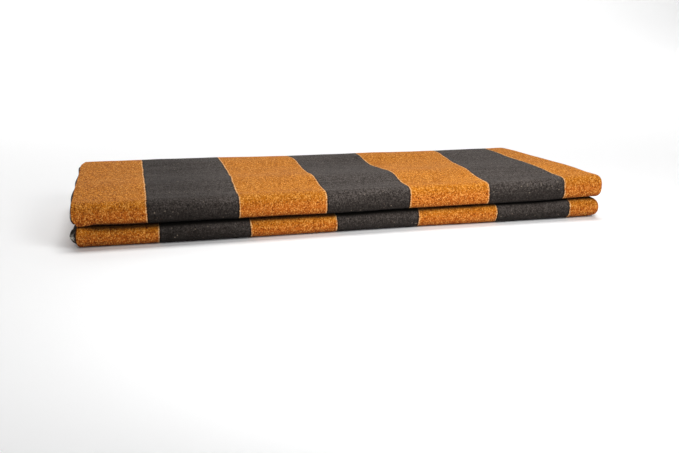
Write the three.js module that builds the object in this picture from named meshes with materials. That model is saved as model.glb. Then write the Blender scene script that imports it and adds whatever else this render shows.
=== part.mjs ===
// A folded lungi: one length of handloom cotton, about 2.0 m by 1.27 m, with broad stripes along its length.
//
// How it is folded. The width is halved twice and the length is halved twice, which makes a leaf 16 plies
// thick and half a metre long, with smooth creases at its right end and creases and selvedges at its left
// end. Both ends of the leaf are then turned in to meet at the middle, and the bundle is shut like a book. So
// two smooth rolls lie one on the other along the front, with a slit between them, and one thick fold joins
// them along the back.
//
// Frame: millimetres, +Z up, the underside on z = 0. The rolls face -Y, and the selvedges are at -X.
//
// Every piece is a block of the leaf. It runs along X, it follows the leaf's way through the section, and it
// takes up a range of depths, where 0 is the face that shows and 1 is the hidden face inside each fold.
import * as THREE from "three";

// ---- driving sizes ----
const DEPTH = 130; // front rolls to back fold
const FRONT_TOP = 25; // the top panel just behind the upper roll
const TOP_RISE = { height: 1.3, from: 13, over: 26 }; // how the panel climbs behind the front, and where
const BACK_RISE = { left: 2.5, right: 0.4, from: 40, over: 65 }; // how it climbs again towards the back fold
const LEFT_TO_RIGHT = { from: -110, over: 150 }; // where along X the left rise gives way to the right one
const RIGHT_RISE = { height: 0.7, from: 50, over: 90 }; // how much higher all of the panel is at the right end
const SLIT = 0.3; // what parts the two halves
const SLIT_HEIGHT = 11; // where the slit lies lowest, and the top of the lower half there
const SEAM = 0.3; // what parts two pieces that touch
const ROLL_REACH = 9; // how far a roll stands out from where its panels start to turn
const SPINE_REACH = 16; // the same for the back fold
const TUCK = { end: 120, slantFrom: 100, slant: 4 }; // the turned-in ends, which stop sooner inside

// How far the leaf reaches from the middle along X, how much its edges round in towards the slit and towards the
// panels, and how much it draws in all the way to the back and at the corner there.
const ENDS = {
  left: {
    upper: { reach: 157, slit: 2.4, panel: 0.4 },
    lower: { reach: 155.4, slit: 1.4, panel: 1.7 },
    taper: 1.5,
    corner: 0,
  },
  right: {
    upper: { reach: 158, slit: 2.6, panel: 2.4 },
    lower: { reach: 157, slit: 3.2, panel: 3.0 },
    taper: 9,
    corner: 3,
  },
};

const CORNER = { from: 92, over: 34 }; // where along Y the corners at the back round in

// ---- the leaf's strips, as shares of its depth, and how far each stands out past the outer one ----
const LIP = 1.1; // how far a strip's rounded edge stands out of the grooves beside it
const OUTER_STRIP = { from: 0, to: 0.25, left: 0, right: 0 };
const SELVEDGE_STRIP = { from: 0.302, to: 0.475, left: -1.2, right: 0 };
const HIDDEN_STRIPS = [
  { from: 0.302, to: 0.56, left: 0, right: -0.5 },
  { from: 0.56, to: 0.78, left: -0.4, right: 0.2 },
  { from: 0.78, to: 1, left: -1.3, right: -0.7 },
];
const HIDDEN_FACE = 0.97; // how near depth 1 comes to the middle of its half

// The selvedges stand out most at the lower roll and draw back behind it. The hidden layers make room there.
const SELVEDGE_OUT = { most: 4.1, spread: 26 };
const SELVEDGE_ROOT = 140; // from the middle to where the selvedges start
const SELVEDGE_ROOM = 0.53; // the depth down to which the hidden layers make room

// ---- roundness of the rolls and the back fold: 2 is an ellipse, and more is squarer ----
const SQUARENESS = {
  upper: { slitLeft: 2.5, slitRight: 3.6, panelLeft: 2.5, panelRight: 3.5 },
  lower: { slitLeft: 2.4, slitRight: 3.0, panelLeft: 2.4, panelRight: 2.4 },
  spine: 2.5,
};
const ROLL_CHANGE = 100; // from the middle to where the rolls are as square as at the ends

// ---- swells (+) and troughs (-) of the top panel: centre, spread and height ----
const SWELLS_FADE = { front: 14, back: 16 }; // how far from the rolls and the back fold they have full height
const TOP_SWELLS = [
  { x: -95, y: 42, spreadX: 90, spreadY: 17, height: 1.1 },
  { x: 20, y: 40, spreadX: 80, spreadY: 14, height: 1.4 },
  { x: 110, y: 50, spreadX: 60, spreadY: 24, height: 0.7 },
  { x: 36, y: 84, spreadX: 44, spreadY: 18, height: -1.7 },
  { x: -70, y: 76, spreadX: 60, spreadY: 18, height: -0.6 },
  { x: 100, y: 92, spreadX: 40, spreadY: 16, height: 0.8 },
  { x: -20, y: 100, spreadX: 44, spreadY: 12, height: 0.6 },
];

// ---- how the slit climbs towards both ends: where along X it starts, over how far, and by how much ----
const SLIT_CLIMBS = [
  { from: -124, over: -32, height: 0.9 },
  { from: -12, over: 40, height: 0.5 },
  { from: 112, over: 42, height: 1.0 },
];

// How the rolls and the back fold draw in and fill out again along the length.
const REACH_WAVES = {
  upper: { depth: 0.7, length: 236, phase: 0.7 },
  lower: { depth: 1.6, length: 190, phase: 2.4 },
  spine: { depth: 1.4, length: 270, phase: 1.9 },
};

// ---- how finely each stretch is divided ----
const ROLL_STEPS = 10;
const SPINE_STEPS = 12;
const SWELLING_STEPS = 8;
const FLAT_STEPS = 2;
const LENGTH_STEPS = 12;
const SELVEDGE_LENGTH_STEPS = 2;
const LIP_STEPS = 4;

const PANEL_START = ROLL_REACH;
const PANEL_END = DEPTH - SPINE_REACH;

const { degToRad, lerp, smoothstep } = THREE.MathUtils;
const smooth = (t) => smoothstep(t, 0, 1);
const bell = (t) => Math.exp(-t * t);
const steps = (a, b, n) => Array.from({ length: n + 1 }, (_, i) => lerp(a, b, i / n));

// The top panel's height at x, and at y from the front. The swells fade out where the panel starts to turn.
function topHeight(x, y) {
  const fade = smooth((y - PANEL_START) / SWELLS_FADE.front) * smooth((PANEL_END - y) / SWELLS_FADE.back);
  const swell = ({ x: x0, y: y0, spreadX, spreadY, height }) =>
    height * bell((x - x0) / spreadX) * bell((y - y0) / spreadY);
  const swells = TOP_SWELLS.reduce((sum, row) => sum + swell(row), 0);
  const back = lerp(BACK_RISE.left, BACK_RISE.right, smooth((x - LEFT_TO_RIGHT.from) / LEFT_TO_RIGHT.over));
  const rise =
    TOP_RISE.height * smooth((y - TOP_RISE.from) / TOP_RISE.over) +
    back * smooth((y - BACK_RISE.from) / BACK_RISE.over) +
    RIGHT_RISE.height * smooth((x - RIGHT_RISE.from) / RIGHT_RISE.over);
  return FRONT_TOP + rise + fade * swells;
}

// How high the slit lies at x.
function slitHeight(x) {
  const climb = ({ from, over, height }) => height * smooth((x - from) / over);
  return SLIT_CLIMBS.reduce((sum, row) => sum + climb(row), SLIT_HEIGHT);
}

// The middle and the half height of the upper or lower half at (x, y).
function halfAt(half, x, y) {
  const low = half === "upper" ? slitHeight(x) + SLIT / 2 : 0;
  const high = half === "upper" ? topHeight(x, y) : slitHeight(x) - SLIT / 2;
  return { middle: (low + high) / 2, reach: (high - low) / 2 };
}

// How far a roll or the back fold reaches at x.
function reachAt(name, full, x) {
  const { depth, length, phase } = REACH_WAVES[name];
  return full - (depth / 2) * (1 - Math.cos((2 * Math.PI * x) / length + phase));
}

// How near an angle is to straight up: 1 there, 0 straight down.
const upness = (angle) => (1 + Math.sin(angle)) / 2;

// The radius of a unit superellipse at an angle.
function radiusAt(angle, squareness) {
  const across = Math.abs(Math.cos(angle)) ** squareness;
  const up = Math.abs(Math.sin(angle)) ** squareness;
  return (across + up) ** (-1 / squareness);
}

// ---- where a stop of the way lies in the section, at a depth and at x: y, z, and how near it comes to the
// top or bottom of its half, which is what rounds the ends ----

// A panel or a slit face. Its side is 1 at the top of its half and -1 at the bottom.
function runPoint({ half, side, y, facesSlit }, depth, x) {
  const slant = facesSlit ? TUCK.slant * smooth((y - TUCK.slantFrom) / (TUCK.end - TUCK.slantFrom)) : 0;
  const at = y - slant * depth;
  const { middle, reach } = halfAt(half, x, at);
  const crown = 1 - HIDDEN_FACE * depth;
  return { y: at, z: middle + side * reach * crown, crown };
}

// A front roll, from -90 degrees at its bottom to 90 degrees at its top.
function rollPoint({ half, angle, facesSlit }, depth, x) {
  const { middle, reach } = halfAt(half, x, PANEL_START);
  const { slitLeft, slitRight, panelLeft, panelRight } = SQUARENESS[half];
  const change = smooth((x + ROLL_CHANGE) / (2 * ROLL_CHANGE));
  const squareness = facesSlit ? lerp(slitLeft, slitRight, change) : lerp(panelLeft, panelRight, change);
  const size = (1 - HIDDEN_FACE * depth) * radiusAt(angle, squareness);
  const up = size * Math.sin(angle);
  const out = reachAt(half, ROLL_REACH, x) * size * Math.cos(angle);
  return { y: PANEL_START - out, z: middle + reach * up, crown: Math.abs(up) };
}

// The back fold, from 90 degrees at its top to -90 degrees at its bottom.
function spinePoint({ angle }, depth, x) {
  const top = topHeight(x, PANEL_END);
  const thicknessOf = (half) => halfAt(half, x, PANEL_END).reach;
  const thickness = lerp(thicknessOf("lower"), thicknessOf("upper"), upness(angle));
  const inward = HIDDEN_FACE * depth * thickness;
  const radius = radiusAt(angle, SQUARENESS.spine);
  return {
    y: PANEL_END + (reachAt("spine", SPINE_REACH, x) - inward) * radius * Math.cos(angle),
    z: top / 2 + (top / 2 - inward) * radius * Math.sin(angle),
    crown: 1 - HIDDEN_FACE * depth,
  };
}

// ---- the way itself, from the end tucked in above the slit to the end tucked in below it ----
const run = (half, side, places, facesSlit = false) =>
  places.map((y) => ({ pointAt: runPoint, half, side, y, facesSlit }));
const swelling = steps(PANEL_START, PANEL_END, SWELLING_STEPS);
const flat = steps(PANEL_START, PANEL_END, FLAT_STEPS);
const backwards = (places) => [...places].reverse();
const shortOf = (gap) => (place) => Math.min(place, PANEL_END - gap);

const roll = (half, slitSide) =>
  steps(-90, 90, ROLL_STEPS)
    .slice(1, -1)
    .map((degrees) => {
      const angle = degToRad(degrees);
      return { pointAt: rollPoint, half, angle, facesSlit: Math.sign(angle) === slitSide };
    });

const upperWay = (gap) => [
  ...run("upper", -1, backwards([...swelling, TUCK.end]), true),
  ...roll("upper", -1),
  ...run("upper", 1, swelling.map(shortOf(gap))),
];
const spineWay = steps(90, -90, SPINE_STEPS).map((degrees) => ({
  pointAt: spinePoint,
  angle: degToRad(degrees),
}));
const lowerWay = (gap) => [
  ...run("lower", -1, backwards(flat.map(shortOf(gap)))),
  ...roll("lower", 1),
  ...run("lower", 1, [...flat, TUCK.end], true),
];
const wholeWay = [...upperWay(0).slice(0, -1), ...spineWay, ...lowerWay(0).slice(1)];

// How far from the middle the leaf reaches at an end, at a stop and a depth.
function leafEnd(end, stop, depth) {
  const { y, crown } = stop.pointAt(stop, depth, 0);
  const rounding = 1 - Math.sqrt(Math.max(0, 1 - crown * crown));
  const reach = (half, facing) => ENDS[end][half].reach - ENDS[end][half][facing] * rounding;
  const { taper, corner } = ENDS[end];
  const drawnIn = taper * (y / DEPTH) + corner * smooth((y - CORNER.from) / CORNER.over);
  if (stop.pointAt === spinePoint)
    return lerp(reach("lower", "panel"), reach("upper", "panel"), upness(stop.angle)) - drawnIn;
  return reach(stop.half, stop.facesSlit ? "slit" : "panel") - drawnIn;
}

// How far a depth stands back from its strip's rounded edge.
function lipBack(strip, depth) {
  const across = (2 * (depth - strip.from)) / (strip.to - strip.from) - 1;
  return LIP * (1 - Math.sqrt(Math.max(0, 1 - across * across)));
}

const stripEnd = (end, strip) => (stop, depth) =>
  leafEnd(end, stop, depth) + strip[end] - lipBack(strip, depth);

// A strip's depths, closer together towards its rounded edges.
const lipDepths = ({ from, to }) =>
  steps(-90, 90, LIP_STEPS).map((degrees) => lerp(from, to, upness(degToRad(degrees))));

// A block of the leaf, as a closed surface. How far it reaches to the left and to the right of the middle are
// functions of the stop and the depth.
function leafBlock(way, depths, lengthSteps, leftReach, rightReach) {
  const count = [lengthSteps, depths.length - 1, way.length - 1];
  const numbers = new Map();
  const points = [];
  const vertex = (at) => {
    const key = at.join();
    if (!numbers.has(key)) {
      const stop = way[at[2]];
      const depth = depths[at[1]];
      const x = lerp(-leftReach(stop, depth), rightReach(stop, depth), at[0] / lengthSteps);
      const { y, z } = stop.pointAt(stop, depth, x);
      numbers.set(key, points.length / 3);
      points.push(x, y - DEPTH / 2, z);
    }
    return numbers.get(key);
  };
  const triangles = [];
  for (const axis of [0, 1, 2]) {
    const [second, third] = [(axis + 1) % 3, (axis + 2) % 3];
    for (const side of [0, count[axis]])
      for (let i = 0; i < count[second]; i++)
        for (let j = 0; j < count[third]; j++) {
          const corner = (di, dj) => {
            const at = [0, 0, 0];
            at[axis] = side;
            at[second] = i + di;
            at[third] = j + dj;
            return vertex(at);
          };
          const [a, b, c, d] = [corner(0, 0), corner(1, 0), corner(1, 1), corner(0, 1)];
          triangles.push(...(side ? [a, b, c, a, c, d] : [a, c, b, a, d, c]));
        }
  }
  const geometry = new THREE.BufferGeometry();
  geometry.setAttribute("position", new THREE.Float32BufferAttribute(points, 3));
  geometry.setIndex(triangles);
  geometry.computeVertexNormals();
  return geometry;
}

// ---- materials: colour, roughness and metalness ----
const cloth = (color) => new THREE.MeshStandardMaterial({ color, roughness: 0.92, metalness: 0 });
const ORANGE_CLOTH = "#c07a36";
const DARK_CLOTH = "#4a4340";
const PALE_CLOTH = "#cfc6b4";

function piece(name, geometry, color) {
  const mesh = new THREE.Mesh(geometry, cloth(color));
  mesh.name = name;
  return mesh;
}

// The outer plies of one stretch of the bundle.
function outerFold(name, way, color) {
  const [left, right] = [stripEnd("left", OUTER_STRIP), stripEnd("right", OUTER_STRIP)];
  return piece(name, leafBlock(way, lipDepths(OUTER_STRIP), LENGTH_STEPS, left, right), color);
}

// The selvedges that show between the outer plies and the hidden ones, along the whole left end.
function selvedges() {
  const left = (stop, depth) => {
    const { y } = stop.pointAt(stop, depth, 0);
    const standOut = stop.half === "lower" ? SELVEDGE_OUT.most * bell(y / SELVEDGE_OUT.spread) : 0;
    return stripEnd("left", SELVEDGE_STRIP)(stop, depth) + standOut;
  };
  const right = () => -SELVEDGE_ROOT;
  const geometry = leafBlock(wholeWay, lipDepths(SELVEDGE_STRIP), SELVEDGE_LENGTH_STEPS, left, right);
  return piece("selvedges", geometry, PALE_CLOTH);
}

// The layers inside the outer plies, as one solid whose ends show its strips.
function innerLayers() {
  const depths = [...new Set(HIDDEN_STRIPS.flatMap(lipDepths))];
  const stripAt = (depth) => HIDDEN_STRIPS.find((strip) => depth <= strip.to);
  const right = (stop, depth) => stripEnd("right", stripAt(depth))(stop, depth);
  const left = (stop, depth) =>
    depth < SELVEDGE_ROOM ? SELVEDGE_ROOT - SEAM : stripEnd("left", stripAt(depth))(stop, depth);
  return piece("inner_layers", leafBlock(wholeWay, depths, LENGTH_STEPS, left, right), ORANGE_CLOTH);
}

const lungi = new THREE.Group();
lungi.add(
  outerFold("upper_fold", upperWay(SEAM), ORANGE_CLOTH),
  outerFold("back_fold", spineWay, DARK_CLOTH),
  outerFold("lower_fold", lowerWay(SEAM), ORANGE_CLOTH),
  selvedges(),
  innerLayers(),
);

export default lungi;
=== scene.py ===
import math

import bpy
import numpy as np
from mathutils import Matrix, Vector


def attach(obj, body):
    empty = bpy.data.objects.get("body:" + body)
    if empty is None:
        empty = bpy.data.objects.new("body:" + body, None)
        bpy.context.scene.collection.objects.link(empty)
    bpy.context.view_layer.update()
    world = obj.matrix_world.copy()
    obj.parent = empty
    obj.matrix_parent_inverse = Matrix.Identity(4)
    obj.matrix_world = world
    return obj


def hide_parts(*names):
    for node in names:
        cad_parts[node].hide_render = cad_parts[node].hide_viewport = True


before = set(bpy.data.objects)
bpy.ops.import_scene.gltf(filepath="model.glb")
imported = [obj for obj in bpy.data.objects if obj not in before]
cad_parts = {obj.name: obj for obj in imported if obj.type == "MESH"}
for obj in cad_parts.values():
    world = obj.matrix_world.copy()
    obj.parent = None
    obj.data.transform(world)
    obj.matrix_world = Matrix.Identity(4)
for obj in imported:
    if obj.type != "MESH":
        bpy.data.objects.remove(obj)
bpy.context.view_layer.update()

# ---- The outer cloth -----------------------------------------------------------------------------------
# A lungi is one length of handloom cotton. Folded in 16 plies it is a leaf, whose ends are turned in to
# meet and which is then shut like a book: two front rolls with a slit between them, and one thick fold at
# the back. The outer strip of that leaf is what shows. Nothing but its own folds holds it.

# The cloth's sizes are in millimetres. The way is the leaf's path through the section, from its end tucked
# in above the slit, round both rolls, to its end tucked in below the slit. Depth is 0 at the face that
# shows, and 1 at the leaf's hidden face.
MM = 0.001
DEPTH = 130  # from the front rolls to the back fold
FRONT_TOP = 25  # the height of the top panel just behind the upper roll

# How the top panel climbs: behind the front, again towards the back fold (more so at the left), along all
# of its right end, in a low shoulder at the right end of the upper roll, and in a last crown along the
# back.
TOP_RISE = {"height": 1.3, "from": 13, "over": 26}
BACK_RISE = {"left": 2.5, "right": 0.4, "from": 40, "over": 65}
LEFT_TO_RIGHT = {"from": -110, "over": 150}
RIGHT_RISE = {"height": 0.7, "from": 50, "over": 90}
SHOULDER = {"height": 1.1, "from": 118, "over": 34, "y": 12, "spread": 20}
CROWN = {"height": 0.45, "more": 1.0, "x": 38, "spread": 52, "from": 92, "over": 16}
SWELLS_FADE = {"front": 14, "back": 16}  # over how far from the rolls and the back fold they fade in
TOP_SWELLS = [  # x, y from the front, spread along x, spread along y, height
    (-95, 42, 90, 17, 1.1),
    (20, 40, 80, 14, 1.4),
    (110, 50, 60, 24, 0.7),
    (36, 84, 44, 18, -1.7),
    (-70, 76, 60, 18, -0.6),
    (100, 92, 40, 16, 0.8),
    (-20, 100, 44, 12, 0.6),
]

# The slit between the two halves, which climbs towards both ends.
SLIT = 0.3
SLIT_HEIGHT = 11
SLIT_CLIMBS = [  # where along x each climb starts, over how far, and its height
    (-124, -32, 0.9),
    (-12, 40, 0.5),
    (112, 42, 1.0),
]
TUCK = {"end": 120, "slant_from": 100, "slant": 4}  # the turned-in ends, which stop sooner inside

# The rolls and the back fold: how far they stand out from where the panels start to turn, how they draw
# in and fill out along their length, and how square they are (2 is an ellipse, and more is squarer). Near
# the left end they are squarer at the slit, which shuts it there.
ROLL_REACH = 9
SPINE_REACH = 16
PANEL_START = ROLL_REACH
PANEL_END = DEPTH - SPINE_REACH
REACH_WAVES = {
    "upper": {"depth": 0.7, "length": 236, "phase": 0.7},
    "lower": {"depth": 1.6, "length": 190, "phase": 2.4},
    "spine": {"depth": 1.4, "length": 270, "phase": 1.9},
}
SQUARENESS = {
    "upper": {"slit_left": 2.5, "slit_right": 3.6, "panel_left": 2.5, "panel_right": 3.5},
    "lower": {"slit_left": 2.4, "slit_right": 3.0, "panel_left": 2.4, "panel_right": 2.4},
    "spine": 2.5,
}
ROLL_CHANGE = 100  # from the middle to where the rolls are as square as at the ends
SHUT = {"squarer": 5, "from": 145, "over": 10}
LEAF = 6.5  # how thick the leaf is
HIDDEN_FACE = 0.97  # how near its hidden face comes to the middle of its half

# How far the leaf reaches from the middle along x, how much its edges round in towards the slit and
# towards the panels, how early the rounding at the slit starts, and how much each end draws in all the
# way to the back (taper) and at the corner there.
ENDS = {
    "left": {
        "upper": {"reach": 157, "slit": 2.4, "panel": 0.4, "early": 1.5},
        "lower": {"reach": 155.4, "slit": 1.4, "panel": 1.7, "early": 1},
        "taper": 0.6,
        "corner": 2.6,
    },
    "right": {
        "upper": {"reach": 158, "slit": 2.6, "panel": 1.7, "early": 1},
        "lower": {"reach": 157, "slit": 3.2, "panel": 3.0, "early": 1},
        "taper": 9.3,
        "corner": 3,
    },
}
CORNER = {"left": {"from": 104, "over": 18}, "right": {"from": 92, "over": 34}}  # along y, from the front


def lerp(a, b, t):
    """From a, where t is 0, to b, where it is 1."""
    return a + (b - a) * t


def smooth(t):
    """From 0 to 1 with a soft start and a soft end."""
    t = np.clip(t, 0, 1)
    return t * t * (3 - 2 * t)


def bell(t):
    """A soft bump, 1 high at 0."""
    return np.exp(-(t**2))


def bells(rows, across, along):
    """The sum of soft bumps: where each is, how far it spreads both ways, and how high it is."""
    parts = [h * bell((across - a) / wide) * bell((along - s) / long) for a, s, wide, long, h in rows]
    return sum(parts)


def top_height(x, y):
    """How high the top panel lies, with y from the front."""
    fade = smooth((y - PANEL_START) / SWELLS_FADE["front"]) * smooth((PANEL_END - y) / SWELLS_FADE["back"])
    change = smooth((x - LEFT_TO_RIGHT["from"]) / LEFT_TO_RIGHT["over"])
    rise = TOP_RISE["height"] * smooth((y - TOP_RISE["from"]) / TOP_RISE["over"])
    back = lerp(BACK_RISE["left"], BACK_RISE["right"], change)
    rise = rise + back * smooth((y - BACK_RISE["from"]) / BACK_RISE["over"])
    rise = rise + RIGHT_RISE["height"] * smooth((x - RIGHT_RISE["from"]) / RIGHT_RISE["over"])
    shoulder = SHOULDER["height"] * smooth((x - SHOULDER["from"]) / SHOULDER["over"])
    rise = rise + shoulder * bell((y - SHOULDER["y"]) / SHOULDER["spread"])
    crown = CROWN["height"] + CROWN["more"] * bell((x - CROWN["x"]) / CROWN["spread"])
    rise = rise + crown * smooth((y - CROWN["from"]) / CROWN["over"])
    return FRONT_TOP + rise + fade * bells(TOP_SWELLS, x, y)


def slit_height(x):
    """How high the middle of the slit lies."""
    return SLIT_HEIGHT + sum(height * smooth((x - start) / over) for start, over, height in SLIT_CLIMBS)


def half_at(upper, x, y):
    """The middle and the half height of the upper or lower half."""
    low = np.where(upper, slit_height(x) + SLIT / 2, 0)
    high = np.where(upper, top_height(x, y), slit_height(x) - SLIT / 2)
    return (low + high) / 2, (high - low) / 2


def reach_at(name, full, x):
    """How far a roll or the back fold stands out at this x."""
    wave = REACH_WAVES[name]
    return full - wave["depth"] / 2 * (1 - np.cos(2 * np.pi * x / wave["length"] + wave["phase"]))


def radius_at(angle, squareness):
    """The distance from the middle to the edge of a squared circle."""
    across = np.abs(np.cos(angle)) ** squareness
    up = np.abs(np.sin(angle)) ** squareness
    return (across + up) ** (-1 / squareness)


def in_section(stops, depth, x):
    """Where stops of the way lie: y from the front, z, and how near they come to the top or bottom of their
    half, which rounds the ends."""
    left = 1 - HIDDEN_FACE * depth

    tuck = smooth((stops["y"] - TUCK["slant_from"]) / (TUCK["end"] - TUCK["slant_from"]))
    run_y = stops["y"] - np.where(stops["slit"], TUCK["slant"] * tuck, 0) * depth
    middle, reach = half_at(stops["upper"], x, run_y)
    run_z = middle + stops["side"] * reach * left

    middle, reach = half_at(stops["upper"], x, PANEL_START)
    change = smooth((x + ROLL_CHANGE) / (2 * ROLL_CHANGE))
    faces = {}
    for facing in ("slit", "panel"):
        both = [lerp(SQUARENESS[half][facing + "_left"], SQUARENESS[half][facing + "_right"], change)
                for half in ("upper", "lower")]
        faces[facing] = np.where(stops["upper"], *both)
    faces["slit"] = faces["slit"] + SHUT["squarer"] * smooth((-x - SHUT["from"]) / SHUT["over"])
    size = left * radius_at(stops["angle"], np.where(stops["slit"], faces["slit"], faces["panel"]))
    roll_up = size * np.sin(stops["angle"])
    full = np.where(stops["upper"], reach_at("upper", ROLL_REACH, x), reach_at("lower", ROLL_REACH, x))
    roll_y = PANEL_START - full * size * np.cos(stops["angle"])
    roll_z = middle + reach * roll_up

    top = top_height(x, PANEL_END)
    upness = (1 + np.sin(stops["angle"])) / 2
    thickness = lerp(half_at(False, x, PANEL_END)[1], half_at(True, x, PANEL_END)[1], upness)
    inward = HIDDEN_FACE * depth * thickness
    radius = radius_at(stops["angle"], SQUARENESS["spine"])
    spine_y = PANEL_END + (reach_at("spine", SPINE_REACH, x) - inward) * radius * np.cos(stops["angle"])
    spine_z = top / 2 + (top / 2 - inward) * radius * np.sin(stops["angle"])

    kinds = [stops["kind"] == kind for kind in ("run", "roll", "spine")]
    y = np.select(kinds, [run_y, roll_y, spine_y])
    z = np.select(kinds, [run_z, roll_z, spine_z])
    crown = np.select(kinds, [left, np.abs(roll_up), left])
    return y, z, crown


def stretch(kind, half, side, places, facing_slit):
    """Stops along a panel or a slit face, by their y, or round a roll or the back fold, by their angle."""
    count = len(places)
    runs = kind == "run"
    return {
        "kind": np.full(count, kind),
        "upper": np.full(count, half == "upper"),
        "side": np.full(count, side),
        "y": np.array(places, float) if runs else np.zeros(count),
        "angle": np.zeros(count) if runs else np.radians(places),
        "slit": np.broadcast_to(facing_slit, count),
    }


BACK_STEPS_MORE = 5  # the back fold is the largest turn


def whole_way(panel_step, roll_steps, slit_steps):
    """The whole way, with stops closer together where the cloth shows or turns, and in the slit closest
    together towards the front."""
    panel = np.linspace(PANEL_START, PANEL_END, round((PANEL_END - PANEL_START) / panel_step) + 1)
    face = PANEL_START + (PANEL_END - PANEL_START) * np.linspace(1, 0, slit_steps) ** 2
    slit = np.concatenate([[TUCK["end"]], face])
    turn = np.linspace(-90, 90, roll_steps + 1)[1:-1]
    back = np.linspace(90, -90, roll_steps + BACK_STEPS_MORE)
    parts = [
        stretch("run", "upper", -1, slit, True),
        stretch("roll", "upper", 0, turn, turn < 0),
        stretch("run", "upper", 1, panel[:-1], False),
        stretch("spine", "upper", 0, back, False),
        stretch("run", "lower", -1, panel[::-1][1:], False),
        stretch("roll", "lower", 0, turn, turn > 0),
        stretch("run", "lower", 1, slit[::-1], True),
    ]
    way = {key: np.concatenate([part[key] for part in parts]) for key in parts[0]}
    y, z, _ = in_section(way, 0, 0)
    way["along"] = np.concatenate([[0], np.cumsum(np.hypot(np.diff(y), np.diff(z)))])
    way["pressed"] = (way["kind"] == "run") & (way["slit"] | ~way["upper"])
    return way


def end_reach(end, out=lambda stops, depth: 0):
    """How far from the middle the leaf reaches at an end. A layer may stand out past the outer one."""

    def reach(stops, depth):
        y, _, crown = in_section(stops, depth, 0)
        faces = {}
        for half in ("upper", "lower"):
            for facing, early in (("slit", ENDS[end][half]["early"]), ("panel", 1)):
                rounding = 1 - np.sqrt(np.clip(1 - (crown * early) ** 2, 0, 1))
                faces[half, facing] = ENDS[end][half]["reach"] - ENDS[end][half][facing] * rounding
        slit = np.where(stops["upper"], faces["upper", "slit"], faces["lower", "slit"])
        panel = np.where(stops["upper"], faces["upper", "panel"], faces["lower", "panel"])
        upness = (1 + np.sin(stops["angle"])) / 2
        spine = lerp(faces["lower", "panel"], faces["upper", "panel"], upness)
        front = np.where(stops["slit"], slit, panel)
        full = np.where(stops["kind"] == "spine", spine, front)
        corner = ENDS[end]["corner"] * smooth((y - CORNER[end]["from"]) / CORNER[end]["over"])
        return full - ENDS[end]["taper"] * y / DEPTH - corner + out(stops, depth)

    return reach


# Where along the way the top panel and the back fold start, and where the back fold and the underside end.
way = whole_way(panel_step=1.8, roll_steps=24, slit_steps=11)
TOP_FROM = way["along"][(way["kind"] == "run") & way["upper"] & ~way["slit"]][0]
SPINE_FROM, SPINE_TO = way["along"][way["kind"] == "spine"][[0, -1]]
UNDER_TO = way["along"][(way["kind"] == "run") & ~way["upper"] & ~way["slit"]][-1]

# Soft creases that the folding left, which stand up (+) or sink (-).
CREASES = [  # middle along x and along the way, turn in degrees from along the rolls, length, width, height
    (-112, TOP_FROM + 1, 2, 64, 2.6, -0.16),
    (-120, TOP_FROM + 9, -3, 46, 2.0, 0.10),
    (-84, TOP_FROM + 26, 2, 60, 3.4, -0.10),
    (-128, TOP_FROM - 14, 3, 40, 2.2, 0.19),
    (-46, TOP_FROM + 5, -2, 62, 3.0, -0.11),
    (14, TOP_FROM + 20, 3, 80, 4.6, 0.13),
    (66, TOP_FROM + 4, -4, 52, 2.8, -0.13),
    (126, TOP_FROM + 16, 6, 44, 3.0, 0.16),
    (92, TOP_FROM + 58, -3, 60, 4.0, -0.11),
    (-30, TOP_FROM + 66, 2, 90, 5.0, 0.11),
    (-110, TOP_FROM + 84, -2, 54, 3.4, -0.13),
    (146, TOP_FROM + 40, 78, 34, 3.6, 0.16),
    (-64, TOP_FROM - 17, 0, 54, 1.8, -0.13),
    (58, TOP_FROM - 18, 1, 60, 2.0, 0.11),
    (134, TOP_FROM - 12, -4, 30, 2.0, -0.16),
    (-90, SPINE_FROM + 12, 2, 80, 3.2, -0.29),
    (-20, SPINE_FROM + 20, -1, 64, 2.6, 0.26),
    (36, SPINE_FROM + 9, -3, 70, 3.0, -0.22),
    (104, SPINE_FROM + 24, 2, 60, 2.8, -0.32),
    (120, SPINE_FROM + 12, -6, 36, 2.4, 0.22),
    (-120, UNDER_TO + 9, 2, 50, 2.0, -0.19),
    (-40, UNDER_TO + 13, -1, 80, 2.2, 0.13),
    (44, UNDER_TO + 8, 2, 66, 1.9, -0.14),
    (118, UNDER_TO + 12, -3, 44, 2.0, 0.16),
]
CREASE_WANDER = {"width": 0.8, "over": 11}  # how a crease strays to both sides of its line
CREASE_CHANGE = {"share": 0.4, "over": 7}  # how its height comes and goes along it
CREASE_FADE = 1.6  # how soon it dies away towards its ends
# Slight unevenness all over: wave length along x, the same along the way, height and phase.
RIPPLES = [(37, 61, 0.035, 0.3), (53, -43, 0.03, 1.1), (19, 33, 0.018, 2.0), (97, 23, 0.03, 0.7)]


def unevenness(x, along):
    """How far the cloth stands proud of its smooth form."""
    total = 0
    for middle, place, turn, length, width, height in CREASES:
        turn = math.radians(turn)
        dx, ds = x - middle, along - place
        lengthwise = dx * math.cos(turn) + ds * math.sin(turn)
        wander = CREASE_WANDER["width"] * np.sin(lengthwise / CREASE_WANDER["over"] + middle)
        sideways = ds * math.cos(turn) - dx * math.sin(turn) + wander
        uneven = 1 + CREASE_CHANGE["share"] * np.sin(lengthwise / CREASE_CHANGE["over"] + place)
        fading = bell(CREASE_FADE * lengthwise / length)
        total = total + height * uneven * fading * bell(sideways / width)
    for length, way_length, height, phase in RIPPLES:
        total = total + height * np.sin(2 * np.pi * (x / length + along / way_length) + phase)
    return total


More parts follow.
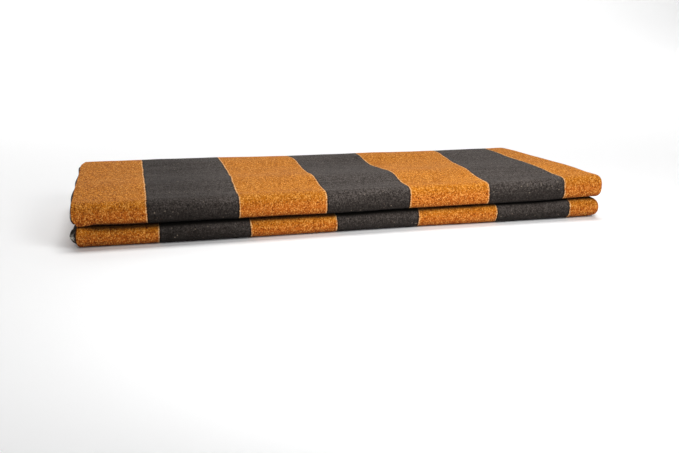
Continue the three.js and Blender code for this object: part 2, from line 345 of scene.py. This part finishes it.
# The stripes don't run quite straight: the leaf was shut a little askew, so they lie further right on the
# lower half, and a hand has dragged them a little on the top panel.
ASKEW = {"most": 6, "less": 2, "from": 70, "over": 60}
DRAGS = [  # x, place along the way, spread along x, spread along the way, drag to the right
    (-67, TOP_FROM + 66, 26, 34, 1.8),
    (-18, TOP_FROM + 88, 24, 30, 1.6),
    (32, TOP_FROM + 104, 24, 18, -2.2),
    (-18, TOP_FROM + 112, 22, 14, -2.5),
    (132, TOP_FROM + 74, 22, 26, -2.2),
    (138, TOP_FROM + 104, 16, 18, -2.4),
    (132, TOP_FROM + 30, 20, 18, -1.6),
]
DRAG_RIGHT = {"x": 85, "spread": 33, "most": 7.6, "from": TOP_FROM + 16, "over": 86}


def drag(x, along):
    """How far to the right of their straight run the stripes lie."""
    askew = ASKEW["most"] - ASKEW["less"] * smooth((x - ASKEW["from"]) / ASKEW["over"])
    askew = askew * smooth((along - SPINE_FROM) / (SPINE_TO - SPINE_FROM))
    right = DRAG_RIGHT["most"] * bell((x - DRAG_RIGHT["x"]) / DRAG_RIGHT["spread"])
    right = right * smooth((along - DRAG_RIGHT["from"]) / DRAG_RIGHT["over"])
    right = right * (1 - smooth((along - SPINE_FROM) / (UNDER_TO - SPINE_FROM)))
    return askew + right + bells(DRAGS, x, along)


# No light comes into the slit, so the cloth is darkest there: from a little behind the front, not at the
# left end itself, and only on the face of the leaf, not on the edges of its plies.
SLIT_SHADE = {"from": 1.6, "over": 2.4, "left_end": 157, "end_over": 6, "depth": 0.1}


def shade_in_slit(stops, depth, x, y):
    """How dark the slit makes the cloth, from 0 to 1."""
    shade = smooth((y - SLIT_SHADE["from"]) / SLIT_SHADE["over"])
    shade = shade * smooth((x + SLIT_SHADE["left_end"]) / SLIT_SHADE["end_over"])
    return np.where(stops["slit"], shade * (1 - smooth(depth / SLIT_SHADE["depth"])), 0)


def turned_under(stops):
    """How far the cloth has turned to face down: -1 on top, 0 where it stands upright and 1 beneath."""
    beneath = np.where(stops["upper"], stops["slit"], ~stops["slit"])
    return np.where(stops["kind"] == "run", 2.0 * beneath - 1, -np.sin(stops["angle"]))


def lip(start, stop, reach, count):
    """The rounded end of one layer: the depth of its points, and how far back from its reach each is."""
    turn = np.radians(np.linspace(-90, 90, count))
    depths = lerp(start, stop, (1 + np.sin(turn)) / 2)
    return list(zip(depths, reach * (1 - np.cos(turn))))


def leaf_block(name, left_end, right_end, left, right, shares, across_of=lambda across, depth: across):
    """A closed piece of the leaf. Its ends are rows of depth and distance back, from its outer face
    inwards, and shares are its stations from the left end to the right one."""
    left_end, right_end = np.array(left_end), np.array(right_end)
    # Points are made only on the outside of the block: by station, by layer and by stop of the way.
    counts = (len(shares), len(left_end), len(way["along"]))
    inside = np.zeros(counts, bool)
    inside[1:-1, 1:-1, 1:-1] = True
    station, layer, stop = np.nonzero(~inside)
    numbers = np.full(counts, -1)
    numbers[~inside] = np.arange(len(station))
    stops = {key: values[stop] for key, values in way.items()}
    share = shares[station]
    depth = lerp(left_end[layer, 0], right_end[layer, 0], smooth(share))
    low = left_end[layer, 1] - left(stops, left_end[layer, 0])
    high = right(stops, right_end[layer, 0]) - right_end[layer, 1]
    x = lerp(low, high, share)
    proud = np.where(stops["pressed"], 0, unevenness(x, stops["along"])) * (1 - depth)
    y, z, _ = in_section(stops, depth - proud / LEAF, x)
    points = np.stack([x, y - DEPTH / 2, np.maximum(z, 0)], -1) * MM

    quads = []
    for axis in range(3):
        for side in (0, -1):
            face = np.take(numbers, side, axis)
            face = face.T if axis == 1 else face
            corners = [face[:-1, :-1], face[1:, :-1], face[1:, 1:], face[:-1, 1:]]
            order = (0, 1, 2, 3) if side else (0, 3, 2, 1)
            quads.append(np.stack([corners[i].ravel() for i in order], -1))
    quads = np.concatenate(quads).astype(np.int32)

    mesh = bpy.data.meshes.new(name)
    mesh.vertices.add(len(points))
    mesh.vertices.foreach_set("co", points.astype(np.float32).ravel())
    mesh.loops.add(quads.size)
    mesh.loops.foreach_set("vertex_index", quads.ravel())
    mesh.polygons.add(len(quads))
    mesh.polygons.foreach_set("loop_start", np.arange(0, quads.size, 4, dtype=np.int32))
    mesh.polygons.foreach_set("loop_total", np.full(len(quads), 4, np.int32))
    mesh.update(calc_edges=True)
    mesh.shade_smooth()

    # What the cotton needs to know at each point: its place in the cloth, and three marks.
    across = across_of(x - drag(x, stops["along"]), depth)
    cloth = np.stack([across, stops["along"], depth * LEAF], -1)
    mesh.attributes.new("cloth", "FLOAT_VECTOR", "POINT")
    mesh.attributes["cloth"].data.foreach_set("vector", cloth.astype(np.float32).ravel())
    marks = {
        "from_edge": x - low,
        "in_slit": shade_in_slit(stops, depth, x, y),
        "turned_under": turned_under(stops),
    }
    for key, values in marks.items():
        mesh.attributes.new(key, "FLOAT", "POINT")
        mesh.attributes[key].data.foreach_set("value", values.astype(np.float32))

    piece = bpy.data.objects.new(name, mesh)
    bpy.context.scene.collection.objects.link(piece)
    return piece


class Shade:
    """A socket of a material, which can take part in sums."""

    def __init__(self, tree, socket=None):
        self.tree = tree
        self.socket = socket

    def add(self, kind, settings, inputs, output=0):
        """A new node: its settings first, then the values or links of its sockets."""
        node = self.tree.nodes.new(kind)
        for name, value in settings.items():
            setattr(node, name, value)
        for name, value in inputs.items():
            if isinstance(value, Shade):
                self.tree.links.new(value.socket, node.inputs[name])
            else:
                node.inputs[name].default_value = value
        return Shade(self.tree, node.outputs[output])

    def math(self, operation, *values):
        """A Math node on this and other values."""
        return self.add("ShaderNodeMath", {"operation": operation}, dict(enumerate((self,) + values)))

    def __add__(self, other):
        return self.math("ADD", other)

    def __sub__(self, other):
        return self.math("SUBTRACT", other)

    def __rsub__(self, other):
        return self.math("MULTIPLY", -1.0) + other

    def __mul__(self, other):
        return self.math("MULTIPLY", other)

    __radd__ = __add__
    __rmul__ = __mul__

    def ramp(self, low, high, start=0.0, end=1.0):
        """A smooth change from start, where this is low, to end, where it is high."""
        values = {"Value": self, "From Min": low, "From Max": high, "To Min": start, "To Max": end}
        return self.add("ShaderNodeMapRange", {"interpolation_type": "SMOOTHSTEP"}, values)

    def mix(self, colour, other):
        """The first colour where this is 0, and the other where it is 1."""
        return self.add("ShaderNodeMix", {"data_type": "RGBA"}, {0: self, 6: colour, 7: other}, 2)

    def scaled(self, sizes, shift):
        """This vector with these sizes along its three axes as its units, moved on by a shift."""
        scale = [1 / size for size in sizes]
        scaled = self.add("ShaderNodeVectorMath", {"operation": "MULTIPLY"}, {0: self, 1: scale})
        return self.add("ShaderNodeVectorMath", {"operation": "ADD"}, {0: scaled, 1: (shift, shift, shift)})

    def noise(self, sizes, shift, detail):
        """Soft noise in this vector's space, whose grains have these sizes along its three axes."""
        values = {"Vector": self.scaled(sizes, shift), "Scale": 1.0, "Detail": detail}
        return self.add("ShaderNodeTexNoise", {}, values)

    def threads(self, sizes, shift):
        """A chance value from 0 to 1 for each short length of thread, of these sizes."""
        cell = self.add("ShaderNodeVectorMath", {"operation": "FLOOR"}, {0: self.scaled(sizes, shift)})
        return self.add("ShaderNodeTexWhiteNoise", {"noise_dimensions": "3D"}, {"Vector": cell})


# Orange warp makes the orange stripes and charcoal warp the others. The weft is charcoal throughout,
# which gives the orange its dark flecks. A pale thread borders each orange stripe, and the charcoal is
# darkest beside it. Towards its left end the cloth is painted darker, as painted shade.
STRIPE = 50
REPEAT = 2 * STRIPE
STRIPES_FROM = -117.6  # the left edge of a charcoal stripe
STRIPE_EDGES = {  # how far from the middle of a charcoal stripe each change starts and ends
    "charcoal": (25.2, 24.8),
    "pale_border": (25.8, 25.4),
    "darkest_beside": (24.0, 24.6),
}
YARN = 0.42
# Short lengths of thread, each with a chance shade of its own: their size across, along and through the
# cloth, and a shift, so that no two sets fall alike.
THREADS = {
    "warp": {"size": (YARN, 1.3, 30), "shift": 3.1},
    "weft": {"size": (1.1, YARN, 30), "shift": 7.7},
    "pepper": {"size": (YARN, 0.5, 30), "shift": 11.3},
    "grit": {"size": (0.8, 1.3, 30), "shift": 17.9},
    "lint": {"size": (0.7, 0.6, 30), "shift": 21.0},
}
# Softer changes: thick spots in the yarn, broad clouds, and streaks along the weft.
SOFT_CHANGES = {
    "slubs": {"size": (1.1, 1.1, 9), "shift": 11.3, "detail": 1.0},
    "clouds": {"size": (24, 17, 40), "shift": 1.9, "detail": 2.0},
    "streaks": {"size": (46, 2.6, 40), "shift": 5.3, "detail": 2.0},
}
WANDER = {"warp": 0.3, "slubs": 0.5, "clouds": 1.2}  # how far each makes a stripe's edge stray
FLECK = {"warp": 0.24, "weft": 0.20, "pepper": 0.44, "slubs": 0.12}  # what each gives to the flecks
DARK_FLECKS = (0.46, 0.20)  # where they start to show, and where they show fully
LIGHT_FLECKS = (0.54, 0.78)
# Painted shade on the orange towards the left end, laid in as denser dark flecks: where it starts and where
# it is darkest,
LEFT_END_SHADE = {"from": -90, "most_at": -150}  # across the cloth
# Painted shade on the charcoal towards the left end: where it starts, where it is darkest, and how dark.
CHARCOAL_LEFT_SHADE = {"from": -62, "most_at": -104, "share": 0.34}
ROUGHNESS = {"dark": 0.96, "light": 0.84}
RELIEF = {"yarns": 0.3, "warp": 0.2, "weft": 0.2, "pepper": 0.25, "slubs": 0.4}
BUMP = {"strength": 0.6, "distance": 0.25 * MM}
FINISH = {
    "Specular IOR Level": 0.10,
    "Sheen Weight": 0.02,
    "Sheen Roughness": 0.5,
    "Sheen Tint": (1.0, 0.95, 0.9, 1),
}
ORANGE = (0.522, 0.163, 0.006, 1)
ORANGE_DUSKY = (0.44, 0.136, 0.006, 1)
# Painted shade: the orange where it stands upright, deeper than on its top, which painted sheen makes
# paler.
ORANGE_SHADE_FRONT = (0.503, 0.119, 0.012, 1)
ORANGE_LIGHT = (0.86, 0.42, 0.090, 1)
ORANGE_DARK = (0.12, 0.020, 0.002, 1)
ORANGE_BORDER = (0.90, 0.57, 0.27, 1)
# Painted shade: the orange where it turns to face down.
ORANGE_SHADE_UNDER = (0.19, 0.038, 0.003, 1)
CHARCOAL = (0.050, 0.041, 0.036, 1)
CHARCOAL_LIGHT = (0.140, 0.118, 0.106, 1)
CHARCOAL_DARK = (0.007, 0.005, 0.004, 1)
LINT = (0.36, 0.29, 0.22, 1)
BINDING = (0.80, 0.75, 0.66, 1)
DEEP = (0.003, 0.002, 0.001, 1)  # the darkness in the slit


def cotton(name, binding=0.0):
    """Striped handloom cotton, with a pale edge binding of this width where the cloth stands upright."""
    material = bpy.data.materials.new(name)
    material.use_nodes = True
    start = Shade(material.node_tree)
    surface = material.node_tree.nodes["Principled BSDF"]

    def mark(key, output=2):
        """What each point of the mesh carries under this name."""
        return start.add("ShaderNodeAttribute", {"attribute_name": key}, {}, output)

    cloth = mark("cloth", 1)
    across = start.add("ShaderNodeSeparateXYZ", {}, {0: cloth}, 0)
    along = start.add("ShaderNodeSeparateXYZ", {}, {0: cloth}, 1)
    warp, weft, pepper, grit, lint = [cloth.threads(row["size"], row["shift"]) for row in THREADS.values()]
    slubs, clouds, streaks = [
        cloth.noise(row["size"], row["shift"], row["detail"]) for row in SOFT_CHANGES.values()
    ]

    wander = (warp - 0.5) * WANDER["warp"] + (slubs - 0.5) * WANDER["slubs"]
    wander = wander + (clouds - 0.5) * WANDER["clouds"]
    repeat = ((across + wander - STRIPES_FROM) * (1 / REPEAT)).math("FRACT")
    from_middle = 0.5 - ((repeat - 0.25).math("ABSOLUTE") - 0.5).math("ABSOLUTE")

    def at_edge(change):
        first, last = STRIPE_EDGES[change]
        return from_middle.ramp(first / REPEAT, last / REPEAT)

    charcoal = at_edge("charcoal")
    border = at_edge("pale_border") * (1 - charcoal)
    beside = at_edge("darkest_beside") * charcoal

    fleck = warp * FLECK["warp"] + weft * FLECK["weft"] + pepper * FLECK["pepper"] + slubs * FLECK["slubs"]
    dark = fleck.ramp(*DARK_FLECKS)
    light = fleck.ramp(*LIGHT_FLECKS)
    # Masks for painted shade: towards the left end, as the cloth turns from the top, and beneath.
    left_end_shade = across.ramp(LEFT_END_SHADE["from"], LEFT_END_SHADE["most_at"])
    turned = mark("turned_under")
    under = turned.ramp(0.15, 1.0)
    shade_off_top = turned.ramp(-1.0, 0.7)
    # The orange is darker in places at random. Painted sheen and shade make its top paler and more golden,
    # its upright faces deeper and its faces beneath deeper still. Then come its flecks, painted shade
    # towards the left end laid in as denser dark flecks, and its pale border.
    orange = clouds.ramp(0.3, 0.7, 0.0, 0.7).mix(ORANGE, ORANGE_DUSKY)
    orange = turned.ramp(-0.8, 0.1, 0.0, 0.85).mix(orange, ORANGE_SHADE_FRONT)
    orange = (under * 0.75).mix(orange, ORANGE_SHADE_UNDER)
    orange = (dark * 0.9).mix(orange, ORANGE_DARK)
    orange = (light * 0.75).mix(orange, ORANGE_LIGHT)
    orange = ((dark * 0.4 + grit.ramp(0.5, 1.0, 0.0, 0.42)) * left_end_shade).mix(orange, ORANGE_DARK)
    orange = (border * weft.ramp(0.1, 0.8, 0.2, 0.75)).mix(orange, ORANGE_BORDER)

    # The charcoal has dusty streaks, dark flecks and specks of lint, and is darkest beside the orange.
    # Painted sheen and shade make it lighter on top and darker off the top, and painted shade makes it
    # darker towards the left end.
    dusty = streaks.ramp(0.4, 0.75, 0.0, 0.25) + light * 0.7
    black = dusty.mix(CHARCOAL, CHARCOAL_LIGHT)
    black = (dark * 0.8).mix(black, CHARCOAL_DARK)
    black = (shade_off_top * 0.7 + beside * 0.5).mix(black, CHARCOAL_DARK)
    # Painted shade: the charcoal grows darker towards the left end.
    charcoal_left_shade = across.ramp(CHARCOAL_LEFT_SHADE["from"], CHARCOAL_LEFT_SHADE["most_at"], 0.0, CHARCOAL_LEFT_SHADE["share"])
    black = charcoal_left_shade.mix(black, CHARCOAL_DARK)
    specks = lint.ramp(0.986, 0.994) * clouds.ramp(0.4, 0.6)
    black = (specks * 0.45).mix(black, LINT)

    # Last come the darkness in the slit and the ragged pale binding.
    colour = charcoal.mix(orange, black)
    colour = (mark("in_slit") * charcoal.ramp(0.0, 1.0, 0.8, 1.0)).mix(colour, DEEP)
    if binding:
        ragged = mark("from_edge") + (weft - 0.5) * 1.2
        pale = ragged.ramp(binding, binding * 0.5) * turned.ramp(0.4, -0.1)
        strands = weft.ramp(0.2, 0.7, 0.3, 1.0) * turned.ramp(-0.6, -0.1)
        colour = (pale * strands).mix(colour, BINDING)
    material.node_tree.links.new(colour.socket, surface.inputs["Base Color"])
    rough = fleck.ramp(0.2, 0.8, ROUGHNESS["dark"], ROUGHNESS["light"])
    material.node_tree.links.new(rough.socket, surface.inputs["Roughness"])
    for socket, value in FINISH.items():
        surface.inputs[socket].default_value = value

    # The yarns stand up where warp and weft cross, one beside the other.
    across_yarns = (across * (math.pi / YARN)).math("SINE")
    along_yarns = (along * (math.pi / YARN)).math("SINE")
    relief = across_yarns * along_yarns * RELIEF["yarns"] + warp * RELIEF["warp"] + weft * RELIEF["weft"]
    relief = relief + pepper * RELIEF["pepper"] + slubs * RELIEF["slubs"]
    bump = {"Height": relief, "Strength": BUMP["strength"], "Distance": BUMP["distance"]}
    bump = start.add("ShaderNodeBump", {}, bump)
    material.node_tree.links.new(bump.socket, surface.inputs["Normal"])
    return material


# The strip is four plies. They make one crease at the right end. At the left end the outer two make a
# crease, and the inner two are the selvedges. So the piece is two plies thick at its left end and four at
# its right.
STRIP = 0.25  # of the leaf's depth
PLIES = 4
PLY = STRIP / PLIES
PLY_GAP = 0.006  # what parts two layers, of the leaf's depth
CREASE = {"pair": 0.40, "strip": 0.80}  # how far back from its tip a crease rounds, in millimetres
# The piece's stations from its left end (0) to its right one (1), closest together at both ends.
LENGTHWISE = np.concatenate([[0, 0.002, 0.005], np.linspace(0.01, 0.99, 138), [0.995, 0.998, 1]])

striped = cotton("striped_cotton")
outer = leaf_block(
    "outer_cloth",
    lip(0, 2 * PLY - PLY_GAP, CREASE["pair"], count=11),
    lip(0, STRIP - PLY_GAP, CREASE["strip"], count=11),
    end_reach("left"), end_reach("right"), LENGTHWISE,
)
outer.data.materials.append(striped)
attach(outer, "root")
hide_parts("upper_fold", "back_fold", "lower_fold")

# ---- The hidden layers ---------------------------------------------------------------------------------
# The other three strips of the leaf fill the outer one. They are hidden but for their ends: three smooth
# creases at the right end, and three creases with room for the selvedges between them at the left end.
RECESS = 12  # how far back from the end the layers make room for the selvedges
LAYER_OUT = {  # the depth in the leaf, and how far the layer there stands out past the outer one
    "left": [(0, 0), (0.5, 0.1), (0.6, -0.6), (1, -1.3)],
    "right": [(0.25, 0), (0.5, -0.4), (0.75, 0.3), (1, -0.8)],
}
LAYER_WAVES = {"length": 64, "height": 0.35, "shift": 23}  # each layer's wave is shifted by its depth
# The stations again, fewer, because little more than the ends shows.
COARSE = np.concatenate([[0, 0.004, 0.012], np.linspace(0.04, 0.96, 24), [0.988, 0.996, 1]])


def layer_out(end):
    """How far each layer stands out past the outer one, which wavers along the way."""
    depths, outs = zip(*LAYER_OUT[end])

    def out(stops, depth):
        turns = stops["along"] * (2 * np.pi / LAYER_WAVES["length"]) + LAYER_WAVES["shift"] * depth
        return np.interp(depth, depths, outs) + LAYER_WAVES["height"] * np.sin(turns)

    return out


left_layers = [(2 * PLY, RECESS), (1.5 * STRIP, RECESS)]
left_layers += lip(1.5 * STRIP, 2 * STRIP - PLY_GAP, CREASE["pair"], count=9)
left_layers += lip(2 * STRIP, 2.5 * STRIP - PLY_GAP, CREASE["pair"], count=9)
left_layers += [(2.5 * STRIP, RECESS), (3.5 * STRIP, RECESS)]
left_layers += lip(3.5 * STRIP, 4 * STRIP, CREASE["pair"], count=8)
right_layers = lip(STRIP, 2 * STRIP - PLY_GAP, CREASE["strip"], count=10)
right_layers += lip(2 * STRIP, 3 * STRIP - PLY_GAP, CREASE["strip"], count=10)
right_layers += lip(3 * STRIP, 4 * STRIP, CREASE["strip"], count=10)
inner = leaf_block(
    "inner_layers_cloth", left_layers, right_layers,
    end_reach("left", layer_out("left")), end_reach("right", layer_out("right")), COARSE,
)
inner.data.materials.append(striped)
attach(inner, "root")
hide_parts("inner_layers")

# ---- The selvedges -------------------------------------------------------------------------------------
# The firm woven edges of the inner plies show at the left end as two bands of four, pale at the very
# edge. They come out furthest round the front of the lower roll, and draw back behind it. At the upper
# half the outer band just peeps out.
SELVEDGE_ROOT = 140  # from the middle to where the selvedges start
SELVEDGE_LIP = 0.18
SELVEDGE_RECESS = RECESS + 2
SELVEDGE_SPREAD = {"y": 26, "z": 4.9, "middle": 6.8}  # how far round the lower roll they come out
BANDS = [  # the depth where each starts, how far it stays back, and how far it comes out below and above
    {"from": 2 * PLY, "back": 1.4, "most": 4.7, "peep": 1.7},
    {"from": 2.5 * STRIP, "back": 2.4, "most": 1.8, "peep": 0},
]
PLY_OUT = (-0.9, 0.4, -0.3, -1.1)  # how far each ply of a band stands out past the others
ORANGE_PLY = 2  # the ply of each band that ends in orange, for as far as ORANGE_FROM_EDGE
SELVEDGE_WAVES = {"length": 47, "height": 0.4, "quicker": 0.2, "shift": 2.1}  # the last two for each ply
BINDING_WIDTH = 0.55
ORANGE_FROM_EDGE = 8
# The stations from the left end to the root, which lies hidden.
SHORT = np.array([0, 0.02, 0.05, 0.1, 0.2, 0.4, 0.7, 1])


def ply_at(band, depth):
    """Which ply of a band lies at this depth."""
    return np.clip(np.floor((depth - band["from"]) / PLY), 0, PLIES - 1).astype(int)


def selvedge_out(stops, depth):
    """How far each ply of a band stands out, which wavers along the way."""
    y, z, _ = in_section(stops, depth, 0)
    near = bell(y / SELVEDGE_SPREAD["y"]) * bell((z - SELVEDGE_SPREAD["middle"]) / SELVEDGE_SPREAD["z"])
    turns = stops["along"] * (2 * np.pi / SELVEDGE_WAVES["length"])
    outs = []
    for band in BANDS:
        ply = ply_at(band, depth)
        shown = np.maximum(band["most"] * near, np.where(stops["upper"], band["peep"], 0))
        wave = np.sin(turns * (1 + SELVEDGE_WAVES["quicker"] * ply) + SELVEDGE_WAVES["shift"] * ply)
        wave = SELVEDGE_WAVES["height"] * wave
        outs.append(np.array(PLY_OUT)[ply] - band["back"] + shown + wave)
    return np.where(depth < BANDS[1]["from"] - PLY, *outs)


def selvedge_across(across, depth):
    """One ply of a band ends in orange with charcoal behind, and the others in charcoal."""
    edge = ORANGE_FROM_EDGE - ENDS["left"]["lower"]["reach"]
    ply = np.where(depth < BANDS[1]["from"] - PLY, ply_at(BANDS[0], depth), ply_at(BANDS[1], depth))
    return np.where(ply == ORANGE_PLY, across - edge + STRIPES_FROM, across + STRIPE)


rows = []
for band in BANDS:
    if rows:
        rows += [(1.5 * STRIP, SELVEDGE_RECESS), (band["from"], SELVEDGE_RECESS)]
    for ply in range(PLIES):
        start = band["from"] + ply * PLY
        rows += lip(start + PLY_GAP / 2, start + PLY - PLY_GAP / 2, SELVEDGE_LIP, count=5)
selvedges = leaf_block(
    "selvedges_cloth", rows, [(depth, 0) for depth, _ in rows], end_reach("left", selvedge_out),
    lambda stops, depth: -SELVEDGE_ROOT, SHORT, selvedge_across,
)
selvedges.data.materials.append(cotton("selvedge", BINDING_WIDTH))
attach(selvedges, "root")
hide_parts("selvedges")

# ---- The floor, the light and the camera ---------------------------------------------------------------
# A pale paper cove, two small soft lamps close in front, which leave the ends darker, and one large lamp
# above for the paper. The sizes and places of these are in metres.
PAPER = {"front": -4, "bend": 2, "radius": 1, "top": 4, "half_width": 6}
PAPER_WHITE = (0.95, 0.95, 0.95, 1)
profile = [(PAPER["front"], 0), (PAPER["bend"], 0)]
for angle in range(10, 91, 10):
    turn = math.radians(angle)
    behind = PAPER["bend"] + PAPER["radius"] * math.sin(turn)
    profile.append((behind, PAPER["radius"] * (1 - math.cos(turn))))
profile.append((PAPER["bend"] + PAPER["radius"], PAPER["top"]))
points = [(x, y, z) for y, z in profile for x in (-PAPER["half_width"], PAPER["half_width"])]
faces = [(2 * i, 2 * i + 1, 2 * i + 3, 2 * i + 2) for i in range(len(profile) - 1)]
floor_mesh = bpy.data.meshes.new("floor")
floor_mesh.from_pydata(points, [], faces)
floor_mesh.shade_smooth()
paper = bpy.data.materials.new("paper")
paper.use_nodes = True
paper.node_tree.nodes["Principled BSDF"].inputs["Base Color"].default_value = PAPER_WHITE
paper.node_tree.nodes["Principled BSDF"].inputs["Roughness"].default_value = 0.9
floor_mesh.materials.append(paper)
floor = bpy.data.objects.new("floor", floor_mesh)
bpy.context.scene.collection.objects.link(floor)

ROOM_LIGHT = 0.05
world = bpy.data.worlds.new("studio")
bpy.context.scene.world = world
world.use_nodes = True
world.node_tree.nodes["Background"].inputs["Color"].default_value = (1, 1, 1, 1)
world.node_tree.nodes["Background"].inputs["Strength"].default_value = ROOM_LIGHT

LAMPS = [
    {"name": "key", "watts": 0.42, "size": 0.12, "place": (0.08, -0.22, 0.21), "aim": (0.06, 0, 0.01)},
    {"name": "low_key", "watts": 0.24, "size": 0.12, "place": (0.03, -0.30, 0.13), "aim": (0.03, 0, 0.01)},
    {"name": "paper_lamp", "watts": 124, "size": 2.0, "place": (0.3, 1.0, 3.0), "aim": (0.5, 3.0, 0.6)},
]
for row in LAMPS:
    lamp = bpy.data.lights.new(row["name"], "AREA")
    lamp.energy = row["watts"]
    lamp.size = row["size"]
    light = bpy.data.objects.new(row["name"], lamp)
    light.location = row["place"]
    look = Vector(row["aim"]) - Vector(row["place"])
    light.rotation_euler = look.to_track_quat("-Z", "Y").to_euler()
    bpy.context.scene.collection.objects.link(light)
bpy.context.scene.view_settings.view_transform = "Standard"

CAMERA = {"place": (-0.1233, -0.5065, 0.1167), "looks_down": 13.84, "looks_right": 14.33, "lens": 43.26}
camera = bpy.data.cameras.new("camera")
camera.sensor_width = 36
camera.lens = CAMERA["lens"]
view = bpy.data.objects.new("camera", camera)
view.location = CAMERA["place"]
view.rotation_euler = (math.radians(90 - CAMERA["looks_down"]), 0, math.radians(-CAMERA["looks_right"]))
bpy.context.scene.collection.objects.link(view)
bpy.context.scene.camera = view
